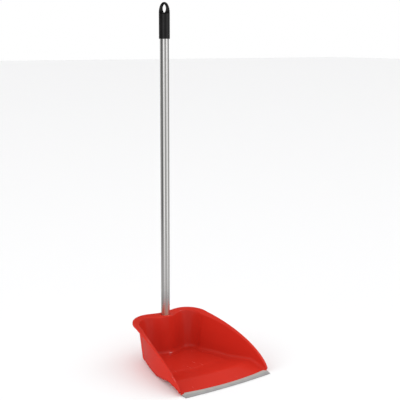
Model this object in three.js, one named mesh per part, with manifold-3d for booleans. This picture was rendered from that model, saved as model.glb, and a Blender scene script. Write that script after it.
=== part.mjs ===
// Long-handled dustpan: a moulded tray with a soft lip, and a tube handle with a hanging cap.
// Millimetres, +Z up. The lip faces -Y, X = 0 is the mirror plane, Z = 0 is the ground, and the
// origin is the middle of the base of the whole object's box.
import * as THREE from 'three';
import { mergeGeometries, mergeVertices } from 'three/addons/utils/BufferGeometryUtils.js';
import Module from 'manifold-3d';

const wasm = await Module();
wasm.setup();

// Rim of the tray
const rimFrontWidth = 266; // outside, at the front ends
const rimRearWidth = 222; // outside, where the rear corners start
const rimHeight = 105.4; // rear rim above the ground
const rimEndHeight = 10; // front ends above the ground
const rimCrown = 7; // how far the rim's middle stands above a plain parabola
const rimCorner = 57; // outside radius of the rear corners, in plan
const rimBow = 4; // how far the long sides bulge past straight
const flangeRear = 17; // width of the flared flange at the rear
const flangeFront = 6; // and at the front ends
const flangeRise = 4; // rise across the rear flange
const flangeLevel = 0.9; // share of that rise taken out where the handle goes in
const flangeBehind = 1.5; // flange left behind the socket
const flangeGrowth = 2.6; // how late along the side the flange widens
const flangeBend = 4; // radius between wall and flange
const skirtDrop = 4.5; // turned-down outer edge
const skirtBend = 2.6; // radius over that edge

// Walls and floor
const wall = 2.2; // moulding thickness
const frontSplay = 5.5; // rim's outer edge outside the foot of the wall, at the front ends
const rearSplay = 27.5; // and where the rear corners start
const endRake = 4; // how far the rim's front ends stand behind the foot's
const baseCorner = 30; // inside radius of the rear corners at the foot
const baseBow = 12; // how far the foot of the long sides bulges past straight
const baseInset = 28.5; // rear edge of the rim to the foot of the rear wall
const baseFillet = 9; // radius between floor and wall
const borderWidth = 18; // low border round the raised floor panel
const panelRise = 1.5;
const panelSlope = 4; // width of the step up to the panel
const panelFade = 35; // length over which the panel fades out at the foot of the ramp
const panelSpan = 60; // crease to the middle of the panel
const floorLength = 296; // middle of the front edge to the rear edge of the rim
const frontBow = 14; // how far the front edge runs ahead of its corners
const frontEdgeLift = 1.5; // underside of the front edge above the ground
const tongueLength = 10; // flat strip along the front edge that the lip grips
const crestHeight = 13; // top of the ramp's crest above the ground
const crestDistance = 58; // front edge to the crest
const creaseDistance = 129; // front edge to where the ramp's back meets the floor
const crestRounding = 2.2;

// Soft lip
const lipInset = 1.5; // each end of the lip inside the foot of the wall
const lipGrip = 6; // how far the tray's front edge goes into the slot
const lipReach = 12; // visible depth ahead of the tray, in the middle
const lipBow = 5.5; // the lip's own front edge, middle ahead of the ends
const lipTip = 1.2; // thickness at the front edge
const lipLayer = 1.2; // thickness under and over the slot
const lipFoot = 4; // how far the lower layer runs back past the upper one

// Handle
const handleTop = 893; // top of the cap above the ground
const handleInset = 24; // rear edge of the rim to the handle's axis
const tubeDiameter = 22;
const tubeWall = 0.9;
const socketWall = 3.2;
const socketFace = 2; // inner wall face ahead of the socket's outside
const socketFloor = 4;
const threadDepth = 38; // narrow lower part of the socket
const threadRadius = 8.6; // outside of the plug's thread
const threadPitch = 5;
const threadRelief = 0.8;
const plugLength = 28; // part of the plug inside the tube
const plugShoulder = 3;
const capWall = 2.1;
const capLength = 88;
const capCover = 56; // how far the tube goes into the cap
const capTurn = -35; // degrees about the handle, of the eyelet's axis from -Y
const eyeletWidth = 7.6;
const eyeletHeight = 20;
const eyeletFullness = 0.75; // 0.5 gives an ellipse, more a lens with sharper tips
const eyeletDrop = 15.5; // top of the cap to the middle of the eyelet
const eyeletWeb = 4; // thickness left between the two scoops
const scoopRadius = 13;
const domeHeight = 26;
const domeFullness = 0.92; // 1 gives a half ellipse, less a blunter dome

// Clearances
const gap = 0.3; // between touching pieces
const slidingGap = 0.35; // handle in its socket, on the radius

// Places that follow from the sizes above
const tubeRadius = tubeDiameter / 2;
const boreRadius = tubeRadius + slidingGap;
const socketRadius = boreRadius + socketWall;
const baseFrontWidth = rimFrontWidth - 2 * frontSplay;
const baseRearWidth = rimRearWidth - 2 * rearSplay;
const lipWidth = baseFrontWidth - 2 * lipInset;
const lipNotch = baseFillet + gap - lipInset; // keeps the upper layer clear of the walls' fillets
const capBore = tubeRadius + gap;
const capRadius = capBore + capWall;
const overallDepth = floorLength - lipGrip + lipReach;
const rearY = overallDepth / 2;
const handleY = rearY - handleInset;
const plateCornerY = rearY - floorLength + frontBow; // ends of the tray's front edge
const rimFrontY = plateCornerY + endRake;
const rimLength = rearY - rimFrontY;
const shoulderZ = socketFloor + threadDepth; // where the tube's end rests in the socket

const lerp = THREE.MathUtils.lerp;

function smoothStep(from, to, value) {
  return THREE.MathUtils.smoothstep(value, from, to);
}

function softMin(a, b, rounding) {
  return (a + b - Math.hypot(a - b, rounding)) / 2;
}

function softMax(a, b, rounding) {
  return (a + b + Math.hypot(a - b, rounding)) / 2;
}

// Height of the rim's outer edge: a parabola that climbs steeply from the front ends.
function rimZ(y) {
  const along = THREE.MathUtils.clamp((y - rimFrontY) / rimLength, 0, 1);
  const climb = rimHeight ** 2 - rimEndHeight ** 2;
  const crown = rimCrown * 4 * along * (1 - along);
  return Math.sqrt(rimEndHeight ** 2 + climb * along) + crown;
}

// Height of the floor above its lowest level, by distance back from the front edge.
function rampZ(distance) {
  const start = frontEdgeLift;
  const top = crestHeight - wall + crestRounding / 2;
  const front = start + (top - start) * (distance - tongueLength) / (crestDistance - tongueLength);
  const back = top * (creaseDistance - distance) / (creaseDistance - crestDistance);
  const ramp = softMin(softMax(start, front, 0.5), back, crestRounding);
  return softMax(ramp, 0, 0.6);
}

// One line round half of the tray in plan, from the front end to the middle of the rear.
function planLine(line, stations, cornerSteps, rearSteps) {
  const centreX = line.rearHalf - line.corner;
  const centreY = line.rearY - line.corner;
  const points = [];
  for (const t of stations) {
    const bulge = line.bow * 4 * t * (1 - t);
    const half = lerp(line.frontHalf, line.rearHalf, t) + bulge - line.inset(t);
    points.push(new THREE.Vector2(half, lerp(line.frontY, centreY, t)));
  }
  for (let i = 0; i < cornerSteps; i++) {
    const angle = (Math.PI / 2) * (i / cornerSteps);
    const radius = line.corner - line.inset(1);
    const x = centreX + radius * Math.cos(angle);
    points.push(new THREE.Vector2(x, centreY + radius * Math.sin(angle)));
  }
  const back = line.rearY - line.inset(1);
  for (let i = 0; i <= rearSteps; i++) {
    const x = centreX * (1 - i / rearSteps);
    const waist = (back - line.middleY) * (1 + Math.cos(Math.PI * x / centreX)) / 2;
    points.push(new THREE.Vector2(x, back - waist));
  }
  return points;
}

// Fractions of the straight side at which the tray is measured: closer where the ramp bends.
function sideStations(sideLength) {
  const bend = 2 * crestRounding;
  const knots = [0, 0.4 * tongueLength, tongueLength, crestDistance - bend, crestDistance];
  knots.push(crestDistance + bend, creaseDistance - bend, creaseDistance + bend, sideLength);
  const stations = [];
  for (let i = 0; i + 1 < knots.length; i++) {
    const steps = Math.ceil((knots[i + 1] - knots[i]) / 24);
    for (let k = 0; k < steps; k++) {
      stations.push(lerp(knots[i], knots[i + 1], k / steps) / sideLength);
    }
  }
  return stations;
}

// Replaces the corner at point b of a path a-b-c with an arc that stays clear of a and c.
function roundedCorner(a, b, c, radius, steps) {
  const toA = a.clone().sub(b);
  const toC = c.clone().sub(b);
  const room = 0.47 * Math.min(toA.length(), toC.length());
  toA.normalize();
  toC.normalize();
  const halfAngle = toA.angleTo(toC) / 2;
  const reach = Math.min(radius / Math.tan(halfAngle), room);
  const bisector = toA.clone().add(toC).normalize();
  const centre = b.clone().addScaledVector(bisector, reach / Math.cos(halfAngle));
  const start = b.clone().addScaledVector(toA, reach).sub(centre);
  const end = b.clone().addScaledVector(toC, reach).sub(centre);
  const sweep = start.angleTo(end);
  const points = [];
  for (let i = 0; i <= steps; i++) {
    const t = i / steps;
    const first = Math.sin((1 - t) * sweep) / Math.sin(sweep);
    const second = Math.sin(t * sweep) / Math.sin(sweep);
    const spoke = start.clone().multiplyScalar(first).addScaledVector(end, second);
    points.push(spoke.add(centre));
  }
  return points;
}

function alongLine(from, to, steps) {
  const points = [];
  for (let i = 1; i < steps; i++) {
    points.push(from.clone().lerp(to, i / steps));
  }
  return points;
}

// The tray's upper surface on the right half, as rows of points from the middle of the floor,
// out to the wall, up it, and over the flange to the bottom of its skirt.
function trayRows(cornerSteps, rearSteps) {
  const noInset = () => 0;
  const flangeInset = (t) => lerp(flangeFront, flangeRear, t ** flangeGrowth);
  const wallMiddleY = handleY - socketRadius - socketFace;
  const sideLength = rearY - baseInset - baseCorner - plateCornerY;
  const stations = sideStations(sideLength);
  const steps = [stations, cornerSteps, rearSteps];
  const rim = {
    frontHalf: rimFrontWidth / 2,
    rearHalf: rimRearWidth / 2,
    frontY: rimFrontY,
    rearY,
    corner: rimCorner,
    bow: rimBow,
    inset: noInset,
    middleY: handleY + socketRadius + flangeBehind,
  };
  const wallTop = { ...rim, inset: flangeInset, middleY: wallMiddleY };
  const foot = {
    frontHalf: baseFrontWidth / 2,
    rearHalf: baseRearWidth / 2,
    frontY: plateCornerY,
    rearY: rearY - baseInset,
    corner: baseCorner,
    bow: baseBow,
    inset: noInset,
    middleY: wallMiddleY,
  };
  const rimLine = planLine(rim, ...steps);
  const topLine = planLine(wallTop, ...steps);
  const footLine = planLine(foot, ...steps);
  const creaseY = plateCornerY + creaseDistance;
  const spineStart = creaseY - frontBow;
  const spineEnd = Math.min(spineStart + panelSpan, wallMiddleY - 3 * borderWidth);
  const firstFree = footLine.findIndex((point) => point.y > creaseY);
  return footLine.map((footPoint, i) => {
    const distance = footPoint.y - plateCornerY;
    const onRamp = i < firstFree;
    const spread = (i - firstFree + 1) / (footLine.length - firstFree);
    const spineY = onRamp ? footPoint.y - frontBow : lerp(spineStart, spineEnd, spread);
    const base = wall + (onRamp ? rampZ(distance) : 0);
    const fadeStart = creaseDistance - panelFade / 2;
    const rise = panelRise * smoothStep(fadeStart, fadeStart + panelFade, distance);
    const bend = onRamp ? frontBow : 0;
    const floorAt = (t, z) => {
      const x = footPoint.x * t;
      const y = lerp(spineY, footPoint.y, t) + bend * (t ** 2 - t);
      return new THREE.Vector3(x, y, z);
    };
    const run = Math.hypot(footPoint.x, footPoint.y - spineY);
    const borderStart = 1 - borderWidth / run;
    const panelEnd = borderStart - panelSlope / run;
    const edgeZ = rimZ(rimLine[i].y);
    const flange = rimLine[i].distanceTo(topLine[i]);
    const level = flangeLevel * Math.exp(-((topLine[i].x / tubeDiameter) ** 2));
    const topZ = edgeZ - flangeRise * (1 - level) * flange / flangeRear;
    const at = (point, z) => new THREE.Vector3(point.x, point.y, z);
    const border = floorAt(borderStart, base);
    const corner = at(footPoint, base);
    const top = at(topLine[i], topZ);
    const edge = at(rimLine[i], edgeZ);
    const skirt = at(rimLine[i], edgeZ - skirtDrop);
    const fillet = roundedCorner(border, corner, top, baseFillet, 4);
    const bendOver = roundedCorner(corner, top, edge, flangeBend, 3);
    const overEdge = roundedCorner(top, edge, skirt, skirtBend, 3);
    return [
      floorAt(0, base + rise),
      floorAt(panelEnd / 3, base + rise),
      floorAt(panelEnd * 2 / 3, base + rise),
      floorAt(panelEnd, base + rise),
      border,
      ...fillet,
      ...alongLine(fillet[4], bendOver[0], 3),
      ...bendOver,
      ...overEdge,
      skirt,
    ];
  });
}

// Joins rows of points into the surface of both halves, facing up.
function mirroredSurface(rows) {
  const halves = [1, -1].map((side) => {
    const positions = rows.flat().flatMap((point) => [point.x * side, point.y, point.z]);
    const width = rows[0].length;
    const index = [];
    for (let i = 0; i + 1 < rows.length; i++) {
      for (let j = 0; j + 1 < width; j++) {
        const a = i * width + j;
        const corners = [a, a + 1, a + width + 1, a + width];
        const [p, q, r, s] = side > 0 ? corners : corners.reverse();
        index.push(p, q, r, p, r, s);
      }
    }
    const half = new THREE.BufferGeometry();
    half.setAttribute('position', new THREE.Float32BufferAttribute(positions, 3));
    half.setIndex(index);
    return half;
  });
  return mergeVertices(mergeGeometries(halves), 1e-3);
}

// Gives an open surface a thickness on its underside and closes it along its border.
function thickened(surface, thickness) {
  surface.computeVertexNormals();
  const { position, normal } = surface.attributes;
  const count = position.count;
  const upper = Array.from(position.array);
  const lower = upper.map((value, i) => value - thickness * normal.array[i]);
  const top = Array.from(surface.index.array);
  const index = [...top];
  const used = new Set();
  for (let i = 0; i < top.length; i += 3) {
    for (let k = 0; k < 3; k++) {
      used.add(`${top[i + k]} ${top[i + (k + 1) % 3]}`);
    }
    index.push(top[i + 2] + count, top[i + 1] + count, top[i] + count);
  }
  for (const edge of used) {
    const [a, b] = edge.split(' ').map(Number);
    if (!used.has(`${b} ${a}`)) {
      index.push(b, a, a + count, b, a + count, b + count);
    }
  }
  const shell = new THREE.BufferGeometry();
  shell.setAttribute('position', new THREE.Float32BufferAttribute([...upper, ...lower], 3));
  shell.setIndex(index);
  return shell;
}

function toSolid(geometry) {
  const bare = geometry.clone();
  bare.deleteAttribute('normal');
  bare.deleteAttribute('uv');
  const merged = mergeVertices(bare, 1e-4);
  const vertProperties = new Float32Array(merged.attributes.position.array);
  const triVerts = new Uint32Array(merged.index.array);
  return new wasm.Manifold(new wasm.Mesh({ numProp: 3, vertProperties, triVerts }));
}

function toGeometry(solid) {
  const mesh = solid.getMesh();
  const geometry = new THREE.BufferGeometry();
  geometry.setAttribute('position', new THREE.Float32BufferAttribute(mesh.vertProperties, 3));
  geometry.setIndex(Array.from(mesh.triVerts));
  geometry.computeVertexNormals();
  return geometry;
}

// A solid of revolution about the handle's axis, from a profile of [radius, height] pairs.
function turned(profile, segments) {
  const points = profile.map(([radius, height]) => new THREE.Vector2(radius, height));
  return new THREE.LatheGeometry(points, segments).rotateX(Math.PI / 2).translate(0, handleY, 0);
}

// An upright plate square to X, from an outline of [y, z] pairs.
function uprightPlate(outline, thickness, x) {
  const shape = new THREE.Shape(outline.map(([y, z]) => new THREE.Vector2(y, z)));
  const plate = new THREE.ExtrudeGeometry(shape, { depth: thickness, bevelEnabled: false });
  const frame = new THREE.Matrix4().makeBasis(
    new THREE.Vector3(0, 1, 0),
    new THREE.Vector3(0, 0, 1),
    new THREE.Vector3(1, 0, 0),
  );
  return plate.applyMatrix4(frame).translate(x - thickness / 2, 0, 0);
}

function panTray() {
  const rows = trayRows(8, 9);
  const shell = toSolid(thickened(mirroredSurface(rows), wall));
  const middle = rows.at(-1);
  const [flangeStart, flangeEnd] = [middle.at(-6), middle.at(-5)];
  const slope = (flangeEnd.z - flangeStart.z) / (flangeEnd.y - flangeStart.y);
  const flangeZ = (y) => flangeStart.z + slope * (y - flangeStart.y) - 0.35 * wall;

  const block = turned([[0, 0], [socketRadius, 0], [socketRadius, rimHeight], [0, rimHeight]], 40);
  const aboveFlange = uprightPlate(
    [
      [handleY - 2 * socketRadius, flangeZ(handleY - 2 * socketRadius)],
      [handleY + 2 * socketRadius, flangeZ(handleY + 2 * socketRadius)],
      [handleY + 2 * socketRadius, 2 * rimHeight],
      [handleY - 2 * socketRadius, 2 * rimHeight],
    ],
    4 * socketRadius,
    0,
  );
  const tray = shell.add(toSolid(block).subtract(toSolid(aboveFlange)));

  const threadBore = threadRadius + slidingGap;
  const bore = turned(
    [
      [0, socketFloor],
      [threadBore, socketFloor],
      [threadBore, shoulderZ],
      [boreRadius, shoulderZ],
      [boreRadius, rimHeight + 5],
      [0, rimHeight + 5],
    ],
    40,
  );
  return toGeometry(tray.subtract(toSolid(bore)));
}

// The soft lip: a wedge with a slot along its back, lofted across the tray's front edge.
function lipStrip() {
  const steps = 20;
  const slotFloor = lipLayer;
  const slotRoof = frontEdgeLift + wall + gap;
  const rows = [];
  for (let i = 0; i <= steps; i++) {
    const t = (2 * i) / steps - 1;
    const x = (t * lipWidth) / 2;
    const ahead = 1 - t ** 2;
    const plateY = plateCornerY - frontBow * (1 - ((2 * x) / baseFrontWidth) ** 2);
    const backY = plateY + lipGrip;
    const tipY = -rearY + lipBow * (1 - ahead);
    const outline = [
      [tipY, 0],
      [backY + lipFoot, 0],
      [backY + lipFoot, slotFloor],
      [plateY - gap, slotFloor],
      [plateY - gap, slotRoof],
      [backY, slotRoof],
      [backY, slotRoof + 0.7 * lipLayer],
      [plateY, slotRoof + lipLayer],
      [tipY, lipTip],
    ];
    rows.push(outline.map(([y, z]) => new THREE.Vector3(x, y, z)));
  }
  let lip = toSolid(lofted(rows));
  const notch = [
    [plateCornerY - 2 * gap - 1, slotFloor],
    [plateCornerY + 2 * lipGrip, slotFloor],
    [plateCornerY + 2 * lipGrip, 2 * crestHeight],
    [plateCornerY - 2 * gap - 1, 2 * crestHeight],
  ];
  for (const x of [-lipWidth / 2, lipWidth / 2]) {
    lip = lip.subtract(toSolid(uprightPlate(notch, 2 * lipNotch, x)));
  }
  return toGeometry(lip);
}

// Closes a loft of matching outlines with flat ends. Outlines run anticlockwise seen from +X.
function lofted(rows) {
  const width = rows[0].length;
  const positions = rows.flat().flatMap((point) => point.toArray());
  const flat = rows[0].map((point) => new THREE.Vector2(point.y, point.z));
  const cap = THREE.ShapeUtils.triangulateShape(flat, []);
  const last = (rows.length - 1) * width;
  const index = [];
  for (const [a, b, c] of cap) {
    index.push(c, b, a, a + last, b + last, c + last);
  }
  for (let i = 0; i + 1 < rows.length; i++) {
    for (let j = 0; j < width; j++) {
      const a = i * width + j;
      const b = i * width + (j + 1) % width;
      index.push(a, b, b + width, a, b + width, a + width);
    }
  }
  const solid = new THREE.BufferGeometry();
  solid.setAttribute('position', new THREE.Float32BufferAttribute(positions, 3));
  solid.setIndex(index);
  return solid;
}

const tubeBottom = shoulderZ + gap + plugShoulder + gap;
const capBottom = handleTop - capLength;
const tubeTop = capBottom + capCover;

function handleTube() {
  const inner = tubeRadius - tubeWall;
  const profile = [
    [inner, tubeBottom],
    [tubeRadius, tubeBottom],
    [tubeRadius, tubeTop],
    [inner, tubeTop],
    [inner, tubeBottom],
  ];
  return turned(profile, 32);
}

// The plug pressed into the tube's lower end. Its rings stand for the thread's turns.
function threadPlug() {
  const stem = tubeRadius - tubeWall - gap;
  const root = threadRadius - threadRelief;
  const tip = socketFloor + 2;
  const shoulder = shoulderZ + gap;
  const profile = [[0, tip], [root - 1, tip], [root, tip + 1]];
  for (let z = tip + 3; z + threadPitch < shoulder; z += threadPitch) {
    profile.push([root, z], [threadRadius, z + 0.8], [threadRadius, z + 1.8], [root, z + 2.6]);
  }
  profile.push(
    [root, shoulder],
    [tubeRadius - 0.1, shoulder],
    [tubeRadius - 0.1, shoulder + plugShoulder],
    [stem, shoulder + plugShoulder],
    [stem, shoulder + plugShoulder + plugLength - 1],
    [stem - 1, shoulder + plugShoulder + plugLength],
    [0, shoulder + plugShoulder + plugLength],
  );
  return turned(profile, 32);
}

function hangerCap() {
  const boreTop = tubeTop + gap;
  const profile = [[0, boreTop], [capBore, boreTop], [capBore, capBottom]];
  profile.push([capRadius - 0.5, capBottom], [capRadius, capBottom + 0.8]);
  profile.push([capRadius, handleTop - domeHeight]);
  const domeSteps = 9;
  for (let i = 1; i <= domeSteps; i++) {
    const angle = (Math.PI / 2) * (i / domeSteps);
    const bulge = capRadius * Math.cos(angle) ** domeFullness;
    profile.push([i < domeSteps ? bulge : 0, handleTop - domeHeight * (1 - Math.sin(angle))]);
  }
  const body = toSolid(turned(profile, 36));

  const eyeletZ = handleTop - eyeletDrop;
  const outline = [];
  const eyeletSteps = 12;
  for (const side of [1, -1]) {
    for (let i = 0; i < eyeletSteps; i++) {
      const along = side * ((2 * i) / eyeletSteps - 1);
      const half = (eyeletWidth / 2) * (1 - along ** 2) ** eyeletFullness;
      outline.push(new THREE.Vector2(side * half, (along * eyeletHeight) / 2));
    }
  }
  const through = { depth: 4 * capRadius, bevelEnabled: false };
  const hole = new THREE.ExtrudeGeometry(new THREE.Shape(outline), through).rotateX(Math.PI / 2);
  hole.translate(0, 2 * capRadius, 0);
  const scoops = [-1, 1].map((side) => {
    const scoop = new THREE.CylinderGeometry(scoopRadius, scoopRadius, 4 * capRadius, 40);
    scoop.rotateZ(Math.PI / 2);
    return scoop.translate(0, side * (scoopRadius + eyeletWeb / 2), 0);
  });
  const turn = THREE.MathUtils.degToRad(capTurn);
  const place = (geometry) => toSolid(geometry.rotateZ(turn).translate(0, handleY, eyeletZ));
  let cap = body.subtract(place(hole));
  for (const scoop of scoops) {
    cap = cap.subtract(place(scoop));
  }
  return toGeometry(cap);
}

function addPart(group, name, geometry, color, roughness, metalness) {
  const material = new THREE.MeshStandardMaterial({ color, roughness, metalness });
  const mesh = new THREE.Mesh(geometry, material);
  mesh.name = name;
  group.add(mesh);
}

const dustpan = new THREE.Group();
addPart(dustpan, 'pan_tray', panTray(), 0xc8231b, 0.25, 0);
addPart(dustpan, 'lip_strip', lipStrip(), 0x9a9a98, 0.6, 0);
addPart(dustpan, 'handle_tube', handleTube(), 0xc9c9c6, 0.22, 1);
addPart(dustpan, 'thread_plug', threadPlug(), 0x2b2b2d, 0.5, 0);
addPart(dustpan, 'hanger_cap', hangerCap(), 0x141213, 0.4, 0);

export default dustpan;
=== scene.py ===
"""Long-handled dustpan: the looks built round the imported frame. Sizes are in metres."""
import math
from contextlib import contextmanager

import bmesh
import bpy
import numpy as np
from mathutils import Matrix, Vector


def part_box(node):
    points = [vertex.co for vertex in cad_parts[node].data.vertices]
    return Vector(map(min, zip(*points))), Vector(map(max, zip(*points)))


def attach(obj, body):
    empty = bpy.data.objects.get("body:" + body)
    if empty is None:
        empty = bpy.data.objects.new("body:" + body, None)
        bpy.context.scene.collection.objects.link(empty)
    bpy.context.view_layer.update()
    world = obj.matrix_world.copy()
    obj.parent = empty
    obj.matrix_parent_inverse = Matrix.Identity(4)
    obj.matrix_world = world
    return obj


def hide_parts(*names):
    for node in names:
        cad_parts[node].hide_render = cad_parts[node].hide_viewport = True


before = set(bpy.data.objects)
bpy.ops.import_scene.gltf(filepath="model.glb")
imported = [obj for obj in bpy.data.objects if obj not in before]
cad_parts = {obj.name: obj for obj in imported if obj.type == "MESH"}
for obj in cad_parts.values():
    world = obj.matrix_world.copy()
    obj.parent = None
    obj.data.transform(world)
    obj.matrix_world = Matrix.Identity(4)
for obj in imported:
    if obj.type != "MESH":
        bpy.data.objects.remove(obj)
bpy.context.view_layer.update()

# ---------------------------------------------------------------- places from the frame

tray_low, tray_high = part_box("pan_tray")
lip_low, lip_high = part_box("lip_strip")
tube_low, tube_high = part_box("handle_tube")
plug_low, plug_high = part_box("thread_plug")
cap_low, cap_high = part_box("hanger_cap")

HANDLE_Y = (tube_low.y + tube_high.y) / 2
TUBE_RADIUS = (tube_high.x - tube_low.x) / 2
CAP_RADIUS = (cap_high.x - cap_low.x) / 2
REAR_Y = tray_high.y
RIM_HEIGHT = tray_high.z

# ---------------------------------------------------------------- sizes of the tray

RIM_FRONT_HALF = tray_high.x
RIM_REAR_HALF = RIM_FRONT_HALF - 0.022
RIM_END_HEIGHT = 0.010
RIM_CROWN = 0.007
RIM_CORNER = 0.057
RIM_BOW = 0.004
FLANGE_REAR = 0.017
FLANGE_FRONT = 0.006
FLANGE_RISE = 0.004
FLANGE_LEVEL = 0.9
FLANGE_BEHIND = 0.0015
FLANGE_GROWTH = 2.6
FLANGE_BEND = 0.0035
SKIRT_DROP = 0.0042
SKIRT_BEND = 0.0026
WALL = 0.0022
FRONT_SPLAY = 0.0055
REAR_SPLAY = 0.0275
END_RAKE = 0.004
BASE_CORNER = 0.030
BASE_BOW = 0.012
BASE_INSET = 0.0285
BASE_FILLET = 0.009
BORDER_WIDTH = 0.018
PANEL_RISE = 0.0015
PANEL_SLOPE = 0.004
PANEL_FADE = 0.035
PANEL_SPAN = 0.060
FRONT_BOW = 0.014
FRONT_EDGE_LIFT = 0.0015
TONGUE_LENGTH = 0.010
CREST_HEIGHT = 0.013
CREST_DISTANCE = 0.058
CREASE_DISTANCE = 0.129
CREST_ROUNDING = 0.0022
TONGUE_ROUNDING = 0.0005
CREASE_ROUNDING = 0.0006
SOCKET_WALL = 0.0032
SOCKET_FACE = 0.002
SOCKET_CHAMFER = 0.0008
SLIDING_GAP = 0.00035
BORE_CLEARANCE = 0.002
MOUTH_FLARE = 0.001
MOUTH_START = 0.001
MOUTH_RISE = 0.0035

FRONT_Y = tray_low.y + FRONT_BOW
RIM_FRONT_Y = FRONT_Y + END_RAKE
SOCKET_RADIUS = TUBE_RADIUS + SLIDING_GAP + SOCKET_WALL
WALL_MIDDLE_Y = HANDLE_Y - SOCKET_RADIUS - SOCKET_FACE
FOOT_FRONT_HALF = RIM_FRONT_HALF - FRONT_SPLAY
FOOT_REAR_HALF = RIM_REAR_HALF - REAR_SPLAY
CAP_TURN = math.radians(-35)

# Steps along each stretch of a row of the tray's surface, from the floor's middle outwards.
PANEL_STEPS = 12
SLOPE_STEPS = 4
BORDER_STEPS = 4
FILLET_STEPS = 8
WALL_STEPS = 10
BEND_STEPS = 6
LEDGE_STEPS = 5
EDGE_STEPS = 6
# The two ends of the flange's flat stretch in such a row, counted from the row's end.
LEDGE_END = -(EDGE_STEPS + 2)
LEDGE_START = LEDGE_END - LEDGE_STEPS

SOCKET_SEGMENTS = 72
# How near the socket's top a vertex counts as part of it.
TOP_TOLERANCE = 1e-4
# The closer to 1, the more evenly the rows are spread along the tray's sides.
ROW_CROWDING = 1.25
# The most of its shorter side that a rounded corner takes.
CORNER_SHARE = 0.47


# ---------------------------------------------------------------- small helpers

def lerp(a, b, t):
    return a + (b - a) * t


def smooth_step(low, high, value):
    t = min(max((value - low) / (high - low), 0), 1)
    return t * t * (3 - 2 * t)


def soft_min(a, b, rounding):
    return (a + b - math.hypot(a - b, rounding)) / 2


def soft_max(a, b, rounding):
    return (a + b + math.hypot(a - b, rounding)) / 2


def rounded_corner(a, b, c, radius, steps):
    """The corner at b of the path a-b-c, as an arc that stays clear of a and c."""
    to_a = a - b
    to_c = c - b
    room = CORNER_SHARE * min(to_a.length, to_c.length)
    to_a = to_a.normalized()
    to_c = to_c.normalized()
    half = to_a.angle(to_c) / 2
    reach = min(radius / math.tan(half), room)
    centre = b + (to_a + to_c).normalized() * (reach / math.cos(half))
    start = b + to_a * reach - centre
    end = b + to_c * reach - centre
    sweep = start.angle(end)
    points = []
    for i in range(steps + 1):
        t = i / steps
        spoke = start * math.sin((1 - t) * sweep) + end * math.sin(t * sweep)
        points.append(centre + spoke / math.sin(sweep))
    return points


def between(a, b, steps):
    return [a.lerp(b, i / steps) for i in range(1, steps)]


def new_object(name, data):
    made = bpy.data.objects.new(name, data)
    bpy.context.scene.collection.objects.link(made)
    return made


def object_from(name, vertices, faces):
    mesh = bpy.data.meshes.new(name)
    mesh.from_pydata([tuple(v) for v in vertices], [], faces)
    mesh.update()
    return new_object(name, mesh)


@contextmanager
def edited(piece):
    bm = bmesh.new()
    bm.from_mesh(piece.data)
    yield bm
    bm.to_mesh(piece.data)
    bm.free()


def merged(piece, distance=1e-6):
    with edited(piece) as bm:
        bmesh.ops.remove_doubles(bm, verts=bm.verts, dist=distance)
        bmesh.ops.recalc_face_normals(bm, faces=bm.faces)


def closed(name, vertices, faces):
    piece = object_from(name, vertices, faces)
    merged(piece)
    return piece


def applied(piece):
    """Replaces the piece's mesh by what its modifiers make of it."""
    graph = bpy.context.evaluated_depsgraph_get()
    graph.update()
    mesh = bpy.data.meshes.new_from_object(piece.evaluated_get(graph))
    piece.modifiers.clear()
    piece.data = mesh
    return piece


def cut(piece, tool, operation):
    modifier = piece.modifiers.new("cut", "BOOLEAN")
    modifier.operation = operation
    modifier.solver = "MANIFOLD"
    modifier.object = tool
    applied(piece)
    bpy.data.objects.remove(tool)


def bevelled(piece, width, segments, angle):
    modifier = piece.modifiers.new("edge", "BEVEL")
    modifier.width = width
    modifier.segments = segments
    modifier.limit_method = "ANGLE"
    modifier.angle_limit = angle
    modifier.use_clamp_overlap = True
    return applied(piece)


def smooth_by_angle(piece, angle):
    with edited(piece) as bm:
        for face in bm.faces:
            face.smooth = True
        for edge in bm.edges:
            edge.smooth = len(edge.link_faces) == 2 and edge.calc_face_angle(0) < angle


def round_handle(radius, z, k, segments):
    """Point k of a ring of segments points about the handle's axis."""
    angle = 2 * math.pi * k / segments
    return (radius * math.cos(angle), HANDLE_Y + radius * math.sin(angle), z)


def ring_faces(rings, count):
    """Quads between neighbouring rings of count points each."""
    faces = []
    for i in range(rings - 1):
        for k in range(count):
            a = i * count + k
            b = i * count + (k + 1) % count
            faces.append((a, b, b + count, a + count))
    return faces


def loft_faces(rings, count):
    """The same quads facing the other way, after a face across each end."""
    last = (rings - 1) * count
    faces = [tuple(range(count)), tuple(reversed(range(last, last + count)))]
    return faces + [(a, d, c, b) for a, b, c, d in ring_faces(rings, count)]


def lathe(name, profile, segments):
    """A solid of revolution about the handle's axis. A profile end on the axis is closed there."""
    vertices = [round_handle(r, z, k, segments) for r, z in profile for k in range(segments)]
    piece = object_from(name, vertices, ring_faces(len(profile), segments))
    merged(piece)
    with edited(piece) as bm:
        bmesh.ops.dissolve_degenerate(bm, edges=bm.edges, dist=1e-7)
        bmesh.ops.recalc_face_normals(bm, faces=bm.faces)
    return piece


# ---------------------------------------------------------------- the tray's shape

def rim_z(y):
    along = min(max((y - RIM_FRONT_Y) / (REAR_Y - RIM_FRONT_Y), 0), 1)
    climb = RIM_HEIGHT ** 2 - RIM_END_HEIGHT ** 2
    crown = RIM_CROWN * 4 * along * (1 - along)
    return math.sqrt(RIM_END_HEIGHT ** 2 + climb * along) + crown


def ramp_z(distance):
    start = FRONT_EDGE_LIFT
    top = CREST_HEIGHT - WALL + CREST_ROUNDING / 2
    slope = (top - start) / (CREST_DISTANCE - TONGUE_LENGTH)
    front = start + slope * (distance - TONGUE_LENGTH)
    back = top * (CREASE_DISTANCE - distance) / (CREASE_DISTANCE - CREST_DISTANCE)
    ramp = soft_min(soft_max(start, front, TONGUE_ROUNDING), back, CREST_ROUNDING)
    return soft_max(ramp, 0, CREASE_ROUNDING)


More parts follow.
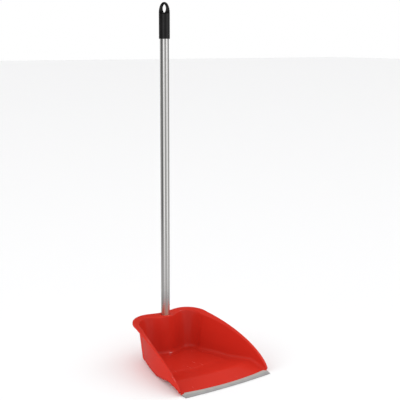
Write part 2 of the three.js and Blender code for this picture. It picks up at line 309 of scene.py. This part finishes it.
def plan_line(line, stations, corner_steps, rear_steps):
    """Half of an outline of the tray in plan, from the front end to the middle of the rear."""
    centre_x = line["rear_half"] - line["corner"]
    centre_y = line["rear_y"] - line["corner"]
    points = []
    for t in stations:
        bulge = line["bow"] * 4 * t * (1 - t)
        half = lerp(line["front_half"], line["rear_half"], t) + bulge - line["inset"](t)
        points.append(Vector((half, lerp(line["front_y"], centre_y, t), 0)))
    radius = line["corner"] - line["inset"](1)
    for i in range(corner_steps):
        angle = math.pi / 2 * i / corner_steps
        x = centre_x + radius * math.cos(angle)
        points.append(Vector((x, centre_y + radius * math.sin(angle), 0)))
    back = line["rear_y"] - line["inset"](1)
    for i in range(rear_steps + 1):
        x = centre_x * (1 - i / rear_steps)
        waist = (back - line["middle_y"]) * (1 + math.cos(math.pi * x / centre_x)) / 2
        points.append(Vector((x, back - waist, 0)))
    return points


def tray_rows(side_steps, corner_steps, rear_steps):
    """The upper surface of the right half, as rows from the floor's middle out to the skirt."""
    rim = {
        "front_half": RIM_FRONT_HALF,
        "rear_half": RIM_REAR_HALF,
        "front_y": RIM_FRONT_Y,
        "rear_y": REAR_Y,
        "corner": RIM_CORNER,
        "bow": RIM_BOW,
        "inset": lambda t: 0,
        "middle_y": HANDLE_Y + SOCKET_RADIUS + FLANGE_BEHIND,
    }
    wall_top = dict(rim)
    wall_top["inset"] = lambda t: lerp(FLANGE_FRONT, FLANGE_REAR, t ** FLANGE_GROWTH)
    wall_top["middle_y"] = WALL_MIDDLE_Y
    foot = {
        "front_half": FOOT_FRONT_HALF,
        "rear_half": FOOT_REAR_HALF,
        "front_y": FRONT_Y,
        "rear_y": REAR_Y - BASE_INSET,
        "corner": BASE_CORNER,
        "bow": BASE_BOW,
        "inset": lambda t: 0,
        "middle_y": WALL_MIDDLE_Y,
    }
    stations = [(i / side_steps) ** ROW_CROWDING for i in range(side_steps)]
    steps = (stations, corner_steps, rear_steps)
    rim_line = plan_line(rim, *steps)
    top_line = plan_line(wall_top, *steps)
    foot_line = plan_line(foot, *steps)
    crease_y = FRONT_Y + CREASE_DISTANCE
    spine_start = crease_y - FRONT_BOW
    spine_end = min(spine_start + PANEL_SPAN, WALL_MIDDLE_Y - 3 * BORDER_WIDTH)
    first_free = next(i for i, p in enumerate(foot_line) if p.y > crease_y)
    rows = []
    for i, foot_point in enumerate(foot_line):
        distance = foot_point.y - FRONT_Y
        on_ramp = i < first_free
        spread = (i - first_free + 1) / (len(foot_line) - first_free)
        spine_y = foot_point.y - FRONT_BOW if on_ramp else lerp(spine_start, spine_end, spread)
        base = WALL + (ramp_z(distance) if on_ramp else 0)
        fade_start = CREASE_DISTANCE - PANEL_FADE / 2
        panel = smooth_step(fade_start, fade_start + PANEL_FADE, distance)
        rise = PANEL_RISE * panel
        bend = FRONT_BOW if on_ramp else 0

        def floor_at(t, z):
            y = lerp(spine_y, foot_point.y, t) + bend * (t * t - t)
            return Vector((foot_point.x * t, y, z))

        run = math.hypot(foot_point.x, foot_point.y - spine_y)
        border_start = 1 - BORDER_WIDTH / run
        panel_end = border_start - PANEL_SLOPE / run
        edge_z = rim_z(rim_line[i].y)
        flange = (rim_line[i] - top_line[i]).length
        level = FLANGE_LEVEL * math.exp(-((top_line[i].x / TUBE_RADIUS / 2) ** 2))
        top_z = edge_z - FLANGE_RISE * (1 - level) * flange / FLANGE_REAR
        up = Vector((0, 0, 1))
        border = floor_at(border_start, base)
        corner = foot_point + up * base
        top = top_line[i] + up * top_z
        edge = rim_line[i] + up * edge_z
        skirt = rim_line[i] + up * (edge_z - SKIRT_DROP)
        fillet = rounded_corner(border, corner, top, BASE_FILLET, FILLET_STEPS)
        bend_over = rounded_corner(corner, top, edge, FLANGE_BEND, BEND_STEPS)
        over_edge = rounded_corner(top, edge, skirt, SKIRT_BEND, EDGE_STEPS)
        row = [floor_at(panel_end * k / PANEL_STEPS, base + rise) for k in range(PANEL_STEPS)]
        for k in range(SLOPE_STEPS + 1):
            t = k / SLOPE_STEPS
            step = lerp(panel_end, border_start, t)
            row.append(floor_at(step, base + rise * (1 - smooth_step(0, 1, t))))
        row += between(border, fillet[0], BORDER_STEPS)
        row += fillet
        row += between(fillet[-1], bend_over[0], WALL_STEPS)
        row += bend_over
        row += between(bend_over[-1], over_edge[0], LEDGE_STEPS)
        row += over_edge
        row.append(skirt)
        rows.append(row)
    return rows


def tray_shell():
    """The tray without its socket, and the row that runs up the middle of the rear wall."""
    rows = tray_rows(side_steps=72, corner_steps=26, rear_steps=30)
    width = len(rows[0])
    vertices = []
    faces = []
    for side in (1, -1):
        offset = len(vertices)
        vertices += [(p.x * side, p.y, p.z) for row in rows for p in row]
        for i in range(len(rows) - 1):
            for j in range(width - 1):
                a = offset + i * width + j
                face = (a, a + 1, a + width + 1, a + width)
                faces.append(face if side > 0 else face[::-1])
    shell = object_from("tray", vertices, faces)
    with edited(shell) as bm:
        bmesh.ops.remove_doubles(bm, verts=bm.verts, dist=1e-5)
        bmesh.ops.dissolve_degenerate(bm, edges=bm.edges, dist=1e-6)
    solidify = shell.modifiers.new("thickness", "SOLIDIFY")
    solidify.thickness = WALL
    solidify.offset = -1
    applied(shell)
    bevelled(shell, width=0.0005, segments=2, angle=0.9)
    return shell, rows[-1]


def build_tray():
    shell, middle = tray_shell()
    start = middle[LEDGE_START]
    end = middle[LEDGE_END]
    slope = (end.z - start.z) / (end.y - start.y)
    top_z = start.z + slope * (HANDLE_Y - start.y) - WALL / 2
    outside = [
        (0, 0),
        (SOCKET_RADIUS - SOCKET_CHAMFER, 0),
        (SOCKET_RADIUS, SOCKET_CHAMFER),
        (SOCKET_RADIUS, top_z),
        (0, top_z),
    ]
    socket = lathe("socket", outside, SOCKET_SEGMENTS)
    for vertex in socket.data.vertices:
        if vertex.co.z > top_z - TOP_TOLERANCE:
            vertex.co.z += slope * (vertex.co.y - HANDLE_Y)
    cut(shell, socket, "UNION")
    bore = TUBE_RADIUS + SLIDING_GAP
    bottom_z = plug_low.z - BORE_CLEARANCE
    rest_z = plug_shoulder_z - SLIDING_GAP
    above_z = RIM_HEIGHT + 0.02
    inside = [
        (0, bottom_z),
        (THREAD_BORE, bottom_z),
        (THREAD_BORE, rest_z),
        (bore, rest_z),
        (bore, top_z - MOUTH_START),
        (bore + MOUTH_FLARE, top_z + MOUTH_RISE),
        (bore + MOUTH_FLARE, above_z),
        (0, above_z),
    ]
    cut(shell, lathe("bore", inside, SOCKET_SEGMENTS), "DIFFERENCE")
    smooth_by_angle(shell, angle=0.6)
    return shell


# ---------------------------------------------------------------- the handle's pieces

THREAD_PITCH = 0.005
THREAD_RELIEF = 0.0008
THREAD_RADIUS = 0.0086
THREAD_BORE = THREAD_RADIUS + SLIDING_GAP
# Where in each turn the thread rises to its crest and falls from it.
THREAD_RISE = (0.15, 0.32)
THREAD_FALL = (0.52, 0.7)
THREAD_RUN_IN = 0.005
THREAD_RUN_OUT = 0.004
TIP_TAPER = 0.0012
TIP_TAPER_HEIGHT = 0.0016
PLUG_SHOULDER = 0.003
SHOULDER_DROP = 0.0033
COLLAR_INSET = 0.0001
COLLAR_EDGE = 0.0004
STEM_EDGE = 0.001
TUBE_WALL = 0.0009
TUBE_EDGE = 0.0003
PRESSED_GAP = 0.0003
HANDLE_SEGMENTS = 96

plug_shoulder_z = tube_low.z - SHOULDER_DROP


def build_plug():
    """Stem, shoulder and a helical thread with rounded turns."""
    segments = 64
    root = THREAD_RADIUS - THREAD_RELIEF
    heights = np.linspace(plug_low.z, plug_shoulder_z, 110)
    vertices = []
    for z in heights:
        above_tip = z - plug_low.z
        for k in range(segments):
            phase = (above_tip / THREAD_PITCH - k / segments) % 1
            crest = smooth_step(*THREAD_RISE, phase) * (1 - smooth_step(*THREAD_FALL, phase))
            ends = smooth_step(0, THREAD_RUN_IN, above_tip)
            ends *= smooth_step(0, THREAD_RUN_OUT, plug_shoulder_z - z)
            taper = TIP_TAPER * (1 - smooth_step(0, TIP_TAPER_HEIGHT, above_tip))
            radius = root + THREAD_RELIEF * crest * ends - taper
            vertices.append(round_handle(radius, z, k, segments))
    stem = TUBE_RADIUS - TUBE_WALL - PRESSED_GAP
    collar = TUBE_RADIUS - COLLAR_INSET
    shoulder_top = plug_shoulder_z + PLUG_SHOULDER
    profile = [
        (collar - COLLAR_EDGE, plug_shoulder_z),
        (collar, plug_shoulder_z + COLLAR_EDGE),
        (collar, shoulder_top - TUBE_EDGE),
        (collar - TUBE_EDGE, shoulder_top),
        (stem, shoulder_top),
        (stem, plug_high.z - STEM_EDGE),
        (stem - STEM_EDGE, plug_high.z),
    ]
    vertices += [round_handle(r, z, k, segments) for r, z in profile for k in range(segments)]
    rings = len(vertices) // segments
    faces = ring_faces(rings, segments)
    faces.append(tuple(reversed(range(segments))))
    faces.append(tuple((rings - 1) * segments + k for k in range(segments)))
    plug = object_from("plug", vertices, faces)
    smooth_by_angle(plug, angle=0.6)
    return plug


def build_tube():
    inner = TUBE_RADIUS - TUBE_WALL
    profile = [
        (inner, tube_low.z),
        (TUBE_RADIUS - TUBE_EDGE, tube_low.z),
        (TUBE_RADIUS, tube_low.z + TUBE_EDGE),
        (TUBE_RADIUS, tube_high.z - TUBE_EDGE),
        (TUBE_RADIUS - TUBE_EDGE, tube_high.z),
        (inner, tube_high.z),
        (inner, tube_low.z),
    ]
    tube = lathe("tube", profile, HANDLE_SEGMENTS)
    smooth_by_angle(tube, angle=0.55)
    return tube


EYELET_HALF = 0.0038
EYELET_LENGTH = 0.020
EYELET_FULLNESS = 0.75
EYELET_DROP = 0.0155
EYELET_WEB = 0.004
SCOOP_RADIUS = 0.013
DOME_HEIGHT = 0.026
DOME_FULLNESS = 0.92
DOME_STEPS = 22
SIDE_STEPS = 11
EYELET_STEPS = 24
MOUTH_EDGE = 0.0004
CAP_EDGE = 0.0006
CAP_RELIEF = 0.0001
CAP_RELIEF_HEIGHT = 0.002


def eyelet_cutter():
    """A pointed lens, as two bulging sides between its lower and upper tips."""
    outline = []
    for side in (1, -1):
        for i in range(EYELET_STEPS):
            along = side * (2 * i / EYELET_STEPS - 1)
            half = EYELET_HALF * (1 - along ** 2) ** EYELET_FULLNESS
            outline.append((side * half, along * EYELET_LENGTH / 2))
    reach = 2 * CAP_RADIUS
    vertices = [(x, -reach, z) for x, z in outline] + [(x, reach, z) for x, z in outline]
    return closed("eyelet", vertices, loft_faces(2, len(outline)))


def scoop_cutter(side):
    """A round bar lying along X, to one side of the eyelet's web."""
    segments = HANDLE_SEGMENTS
    reach = 2 * CAP_RADIUS
    centre_y = side * (SCOOP_RADIUS + EYELET_WEB / 2)
    vertices = []
    for x in (-reach, reach):
        for k in range(segments):
            angle = 2 * math.pi * k / segments
            y = centre_y + SCOOP_RADIUS * math.cos(angle)
            vertices.append((x, y, SCOOP_RADIUS * math.sin(angle)))
    return closed("scoop", vertices, loft_faces(2, segments))


def build_cap():
    bore = TUBE_RADIUS + PRESSED_GAP
    bore_top = tube_high.z + PRESSED_GAP
    profile = [
        (0, bore_top),
        (bore, bore_top),
        (bore, cap_low.z + MOUTH_EDGE),
        (bore + MOUTH_EDGE, cap_low.z),
        (CAP_RADIUS - CAP_EDGE, cap_low.z),
        (CAP_RADIUS - CAP_RELIEF, cap_low.z + CAP_EDGE),
        (CAP_RADIUS, cap_low.z + CAP_RELIEF_HEIGHT),
    ]
    dome_base = cap_high.z - DOME_HEIGHT
    for i in range(1, SIDE_STEPS + 1):
        profile.append((CAP_RADIUS, lerp(cap_low.z, dome_base, i / SIDE_STEPS)))
    for i in range(1, DOME_STEPS + 1):
        angle = math.pi / 2 * i / DOME_STEPS
        bulge = CAP_RADIUS * max(math.cos(angle), 0) ** DOME_FULLNESS if i < DOME_STEPS else 0
        profile.append((bulge, cap_high.z - DOME_HEIGHT * (1 - math.sin(angle))))
    cap = lathe("cap", profile, HANDLE_SEGMENTS)
    eyelet_z = cap_high.z - EYELET_DROP
    place = Matrix.Translation((0, HANDLE_Y, eyelet_z)) @ Matrix.Rotation(CAP_TURN, 4, "Z")
    for tool in (eyelet_cutter(), scoop_cutter(-1), scoop_cutter(1)):
        tool.data.transform(place)
        cut(cap, tool, "DIFFERENCE")
    bevelled(cap, width=0.0006, segments=3, angle=0.5)
    smooth_by_angle(cap, angle=0.6)
    return cap


# ---------------------------------------------------------------- the lip

LIP_GRIP = 0.006
LIP_BOW = 0.0055
LIP_TIP = 0.0012
LIP_LAYER = 0.0012
LIP_FOOT = 0.004
LIP_HEEL = 0.0004
LIP_HOLLOW = 0.0003
LIP_GAP = 0.0003
RIDGE_INSET = 0.0012
ROOF_EDGE = 0.0006
NOTCH_BLEND = 0.004
LIP_SLOPE_STEPS = 6
LIP_NOSE_STEPS = 5


def build_lip():
    """The strip's section, drawn at each step across the tray's bowed front edge."""
    steps = 96
    slot_roof = FRONT_EDGE_LIFT + WALL + LIP_GAP
    ridge_z = slot_roof + LIP_LAYER * 0.95
    nose = LIP_TIP / 2
    half = lip_high.x
    notch = BASE_FILLET + LIP_GAP - (FOOT_FRONT_HALF - half)
    vertices = []
    for i in range(steps + 1):
        t = 2 * i / steps - 1
        x = t * half
        plate_y = FRONT_Y - FRONT_BOW * (1 - (x / FOOT_FRONT_HALF) ** 2)
        back_y = plate_y + LIP_GRIP
        tip_y = lip_low.y + LIP_BOW * t * t
        ridge_y = plate_y - RIDGE_INSET
        near_end = smooth_step(half - notch, half - notch + NOTCH_BLEND, abs(x))
        roof_y = lerp(back_y, plate_y - 2 * LIP_GAP, near_end)
        outline = [
            (tip_y + nose, 0),
            (back_y + LIP_FOOT, 0),
            (back_y + LIP_FOOT + LIP_HEEL, LIP_LAYER / 2),
            (back_y + LIP_FOOT, LIP_LAYER),
            (plate_y - LIP_GAP, LIP_LAYER),
            (plate_y - LIP_GAP, slot_roof),
            (roof_y, slot_roof),
            (roof_y, slot_roof + 0.5 * LIP_LAYER),
            (roof_y - ROOF_EDGE, slot_roof + 0.9 * LIP_LAYER),
            (ridge_y, ridge_z),
        ]
        for k in range(1, LIP_SLOPE_STEPS):
            s = k / LIP_SLOPE_STEPS
            y = lerp(ridge_y, tip_y + nose, s)
            z = lerp(ridge_z, LIP_TIP, s) - LIP_HOLLOW * math.sin(math.pi * s)
            outline.append((y, z))
        for k in range(LIP_NOSE_STEPS):
            angle = math.pi / 2 + math.pi * k / LIP_NOSE_STEPS
            outline.append((tip_y + nose + nose * math.cos(angle), nose + nose * math.sin(angle)))
        vertices += [(x, y, z) for y, z in outline]
    lip = object_from("lip", vertices, loft_faces(steps + 1, len(outline)))
    merged(lip, 1e-7)
    smooth_by_angle(lip, angle=0.5)
    return lip


# ---------------------------------------------------------------- materials

# A colour Mix node's sockets have no names of their own.
MIX_A = 6
MIX_B = 7
MIX_RESULT = 2


class Look:
    """A Principled material with a few shorthand calls for its node tree."""

    def __init__(self, name, **constants):
        self.material = bpy.data.materials.new(name)
        self.material.use_nodes = True
        self.tree = self.material.node_tree
        self.shader = self.tree.nodes["Principled BSDF"]
        for socket, value in constants.items():
            self.shader.inputs[socket.replace("_", " ")].default_value = value
        self.place = self.tree.nodes.new("ShaderNodeTexCoord").outputs["Object"]

    def link(self, output, target):
        self.tree.links.new(output, target)

    def drive(self, socket, output):
        self.link(output, self.shader.inputs[socket])

    def noise(self, scale, detail, stretch=(1, 1, 1), roughness=0.5):
        mapping = self.tree.nodes.new("ShaderNodeMapping")
        mapping.inputs["Scale"].default_value = stretch
        self.link(self.place, mapping.inputs["Vector"])
        node = self.tree.nodes.new("ShaderNodeTexNoise")
        node.inputs["Scale"].default_value = scale
        node.inputs["Detail"].default_value = detail
        node.inputs["Roughness"].default_value = roughness
        self.link(mapping.outputs["Vector"], node.inputs["Vector"])
        return node.outputs["Fac"]

    def ranged(self, value, low, high, to_low, to_high):
        node = self.tree.nodes.new("ShaderNodeMapRange")
        numbers = {"From Min": low, "From Max": high, "To Min": to_low, "To Max": to_high}
        for socket, number in numbers.items():
            node.inputs[socket].default_value = number
        self.link(value, node.inputs["Value"])
        return node.outputs["Result"]

    def mottled(self, scale, detail, low, high, stretch=(1, 1, 1)):
        """Noise with its middle range spread from low to high."""
        return self.ranged(self.noise(scale, detail, stretch), 0.3, 0.7, low, high)

    def combined(self, a, b, operation):
        node = self.tree.nodes.new("ShaderNodeMath")
        node.operation = operation
        self.link(a, node.inputs[0])
        self.link(b, node.inputs[1])
        return node.outputs["Value"]

    def height(self):
        node = self.tree.nodes.new("ShaderNodeSeparateXYZ")
        self.link(self.place, node.inputs["Vector"])
        return node.outputs["Z"]

    def colours(self, factor, first, second):
        node = self.tree.nodes.new("ShaderNodeMix")
        node.data_type = "RGBA"
        self.link(factor, node.inputs["Factor"])
        for index, colour in ((MIX_A, first), (MIX_B, second)):
            if isinstance(colour, tuple):
                node.inputs[index].default_value = (*colour, 1)
            else:
                self.link(colour, node.inputs[index])
        return node.outputs[MIX_RESULT]

    def bump(self, value, strength, distance):
        node = self.tree.nodes.new("ShaderNodeBump")
        node.inputs["Strength"].default_value = strength
        node.inputs["Distance"].default_value = distance
        self.link(value, node.inputs["Height"])
        self.drive("Normal", node.outputs["Normal"])


def tray_look():
    look = Look("red_plastic", IOR=1.5, Specular_IOR_Level=0.2)
    flow = look.mottled(9, 3, 0, 1, stretch=(1, 0.4, 1))
    scuffs = look.noise(160, 5, stretch=(1, 0.12, 1), roughness=0.6)
    worn = look.ranged(scuffs, 0.62, 0.78, 0, 0.35)
    low = look.ranged(look.height(), 0.0, 0.02, 1, 0)
    wear = look.combined(worn, low, "MULTIPLY")
    tint = look.colours(flow, (0.60, 0.026, 0.014), (0.65, 0.030, 0.017))
    look.drive("Base Color", look.colours(wear, tint, (0.72, 0.12, 0.09)))
    gloss = look.mottled(55, 6, 0.15, 0.22)
    scuffed = look.ranged(wear, 0, 0.35, 0, 0.25)
    look.drive("Roughness", look.combined(gloss, scuffed, "ADD"))
    look.bump(look.noise(900, 3), 0.03, 0.0004)
    return look.material


def lip_look():
    look = Look("grey_rubber", IOR=1.45, Specular_IOR_Level=0.35)
    grey = look.colours(look.mottled(40, 5, 0, 1), (0.30, 0.29, 0.288), (0.36, 0.347, 0.345))
    # Painted highlight: the strip is paler along the top of its ridge, where the light falls on
    # it.
    painted_ridge_highlight = look.ranged(look.height(), 0.0036, 0.0048, 0, 0.55)
    look.drive("Base Color", look.colours(painted_ridge_highlight, grey, (0.5, 0.47, 0.42)))
    look.drive("Roughness", look.mottled(120, 4, 0.48, 0.66))
    look.bump(look.noise(1500, 3), 0.15, 0.0003)
    return look.material


def tube_look():
    look = Look("bright_tube", Metallic=1.0)
    grain = look.mottled(60, 4, 0, 1, stretch=(1, 1, 0.02))
    bright = look.colours(grain, (0.78, 0.77, 0.76), (0.86, 0.85, 0.84))
    # Painted reflection: the cream tint at the tube's foot stands in for the warm light the red
    # tray throws back onto the metal.
    foot = look.ranged(look.height(), 0.105, 0.14, 1, 0)
    look.drive("Base Color", look.colours(foot, bright, (0.8, 0.72, 0.58)))
    smears = look.mottled(30, 5, 0.14, 0.2, stretch=(1, 1, 0.3))
    dull = look.ranged(look.height(), 0.1, 0.17, 0.16, 0)
    look.drive("Roughness", look.combined(smears, dull, "ADD"))
    look.bump(look.noise(1400, 2, stretch=(1, 1, 0.01)), 0.05, 0.0002)
    return look.material


def cap_look():
    look = Look("black_plastic", IOR=1.48, Specular_IOR_Level=0.4)
    cloud = look.mottled(35, 4, 0, 1)
    look.drive("Base Color", look.colours(cloud, (0.004, 0.0036, 0.0038), (0.008, 0.007, 0.0074)))
    look.drive("Roughness", look.mottled(80, 5, 0.24, 0.34))
    look.bump(look.noise(1100, 4), 0.12, 0.0004)
    return look.material


def plug_look():
    look = Look("plug_plastic", IOR=1.48)
    cloud = look.mottled(90, 4, 0, 1)
    look.drive("Base Color", look.colours(cloud, (0.02, 0.02, 0.021), (0.035, 0.034, 0.036)))
    look.drive("Roughness", look.mottled(200, 4, 0.38, 0.55))
    look.bump(look.noise(1800, 3), 0.12, 0.0003)
    return look.material


def dressed(piece, material):
    piece.data.materials.clear()
    piece.data.materials.append(material)
    for polygon in piece.data.polygons:
        polygon.material_index = 0
    return piece


# ---------------------------------------------------------------- the pieces on their bodies

PIECES = [
    (build_tray, tray_look, "pan", "pan_tray", "tray_plastic"),
    (build_lip, lip_look, "pan", "lip_strip", "lip_rubber"),
    (build_tube, tube_look, "handle", "handle_tube", "tube_metal"),
    (build_plug, plug_look, "handle", "thread_plug", "plug_plastic"),
    (build_cap, cap_look, "handle", "hanger_cap", "cap_plastic"),
]
for build, look, body, node, slot in PIECES:
    piece = dressed(build(), look())
    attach(piece, body)
    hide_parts(node)


# ---------------------------------------------------------------- floor, light and camera

VIEW_TURN = math.radians(-35.9)
VIEW_PITCH = math.radians(10.62)
VIEW_ROLL = math.radians(0.2)
VIEW_DISTANCE = 2.1144
VIEW_ASIDE = 0.0884
VIEW_HEIGHT = 0.801
LENS = 76.5

FLOOR_HALF = 30
FLOOR_DROP = 0.0004
FLOOR_SEEN = (0.95, 0.95, 0.955, 1)
FLOOR_REFLECTED = (0.22, 0.22, 0.22, 1)


def build_floor():
    """A plain pale floor, darker where it shows in the object's reflections."""
    size = FLOOR_HALF
    corners = [(-size, -size, 0), (size, -size, 0), (size, size, 0), (-size, size, 0)]
    floor = object_from("floor", corners, [(0, 1, 2, 3)])
    floor.location.z = -FLOOR_DROP
    material = bpy.data.materials.new("floor_white")
    material.use_nodes = True
    tree = material.node_tree
    shader = tree.nodes["Principled BSDF"]
    rays = tree.nodes.new("ShaderNodeLightPath")
    shade = tree.nodes.new("ShaderNodeMix")
    shade.data_type = "RGBA"
    shade.inputs[MIX_A].default_value = FLOOR_SEEN
    shade.inputs[MIX_B].default_value = FLOOR_REFLECTED
    tree.links.new(rays.outputs["Is Glossy Ray"], shade.inputs["Factor"])
    tree.links.new(shade.outputs[MIX_RESULT], shader.inputs["Base Color"])
    shader.inputs["Roughness"].default_value = 0.6
    shader.inputs["Specular IOR Level"].default_value = 0.2
    floor.data.materials.append(material)


def heading(turn):
    """The angle in plan, in radians, of a turn in degrees from the handle's camera side."""
    return VIEW_TURN - math.pi / 2 + math.radians(turn)


# How brightly the ring of cards shines at each turn, in degrees, from the camera's side.
CARDS = [
    (-180, 0.06),
    (-150, 0.12),
    (-130, 0.45),
    (-100, 0.4),
    (-84, 0.06),
    (-66, 0.06),
    (-48, 0.3),
    (-30, 0.55),
    (-24, 1.25),
    (-12, 1.25),
    (0, 0.5),
    (20, 0.36),
    (44, 0.33),
    (54, 1.2),
    (68, 1.25),
    (82, 0.6),
    (110, 0.45),
    (135, 0.14),
    (180, 0.06),
]
CARD_MIDDLE = 0.55
CARD_RADIUS = 0.5
CARD_STEPS = 180
# Height, share of the full brightness, and contrast between the cards.
CARD_LEVELS = [
    (-0.001, 0.9, 0.3),
    (0.1, 0.95, 0.45),
    (0.28, 0.95, 0.9),
    (0.9, 1.0, 1.0),
    (1.3, 0.8, 1.0),
    (2.2, 0.25, 1.0),
]


def build_cards():
    """A ring of studio cards that only reflections see, plainer low down and fainter on top."""
    turns = [turn for turn, shine in CARDS]
    shines = [shine for turn, shine in CARDS]
    vertices = []
    brightness = []
    for z, share, contrast in CARD_LEVELS:
        for k in range(CARD_STEPS):
            turn = -180 + 360 * k / CARD_STEPS
            angle = heading(turn)
            x = CARD_RADIUS * math.cos(angle)
            vertices.append((x, HANDLE_Y + CARD_RADIUS * math.sin(angle), z))
            shine = float(np.interp(turn, turns, shines))
            brightness.append(share * lerp(CARD_MIDDLE, shine, contrast))
    cards = object_from("cards", vertices, ring_faces(len(CARD_LEVELS), CARD_STEPS))
    glow_map = cards.data.attributes.new("shine", "FLOAT", "POINT")
    glow_map.data.foreach_set("value", brightness)
    material = bpy.data.materials.new("card_glow")
    material.use_nodes = True
    tree = material.node_tree
    tree.nodes.clear()
    glow = tree.nodes.new("ShaderNodeEmission")
    source = tree.nodes.new("ShaderNodeAttribute")
    source.attribute_name = "shine"
    output = tree.nodes.new("ShaderNodeOutputMaterial")
    tree.links.new(source.outputs["Fac"], glow.inputs["Strength"])
    tree.links.new(glow.outputs["Emission"], output.inputs["Surface"])
    cards.data.materials.append(material)
    cards.visible_camera = False
    cards.visible_diffuse = False
    cards.visible_shadow = False
    cards.visible_transmission = False


def sun_light(name, turn, elevation, strength, softness, glint=False):
    """Even light from a turn and an elevation. Both, and the softness, are in degrees.
    A glint shows in reflections only, and the other lights show in all but reflections."""
    light = bpy.data.lights.new(name, "SUN")
    light.energy = strength
    light.angle = math.radians(softness)
    lamp = new_object(name, light)
    lamp.visible_glossy = glint
    lamp.visible_diffuse = not glint
    angle = heading(turn)
    rise = math.radians(elevation)
    level = math.cos(rise)
    back = Vector((math.cos(angle) * level, math.sin(angle) * level, math.sin(rise)))
    lamp.rotation_euler = back.to_track_quat("Z", "Y").to_euler()


def build_world():
    world = bpy.data.worlds.new("studio")
    bpy.context.scene.world = world
    world.use_nodes = True
    tree = world.node_tree
    background = tree.nodes["Background"]
    background.inputs["Color"].default_value = (1, 1, 1, 1)
    background.inputs["Strength"].default_value = 1.0
    world.cycles_visibility.glossy = False


def build_camera():
    camera = bpy.data.cameras.new("camera")
    camera.sensor_width = 36
    camera.lens = LENS
    camera.clip_end = 100
    holder = new_object("camera", camera)
    ahead = Vector((-math.sin(VIEW_TURN), math.cos(VIEW_TURN), 0))
    right = Vector((math.cos(VIEW_TURN), math.sin(VIEW_TURN), 0))
    handle = Vector((0, HANDLE_Y, VIEW_HEIGHT))
    place = handle - ahead * VIEW_DISTANCE + right * VIEW_ASIDE
    turn = Matrix.Rotation(VIEW_TURN, 4, "Z")
    tilt = Matrix.Rotation(math.pi / 2 - VIEW_PITCH, 4, "X")
    roll = Matrix.Rotation(VIEW_ROLL, 4, "Z")
    holder.matrix_world = Matrix.Translation(place) @ turn @ tilt @ roll
    bpy.context.scene.camera = holder


build_floor()
build_world()
build_cards()
sun_light("key", turn=120, elevation=35, strength=0.3, softness=35)
sun_light("fill", turn=-70, elevation=15, strength=0.8, softness=60)
sun_light("glint", turn=118, elevation=54, strength=0.5, softness=9, glint=True)
build_camera()
bpy.context.scene.view_settings.view_transform = "Standard"
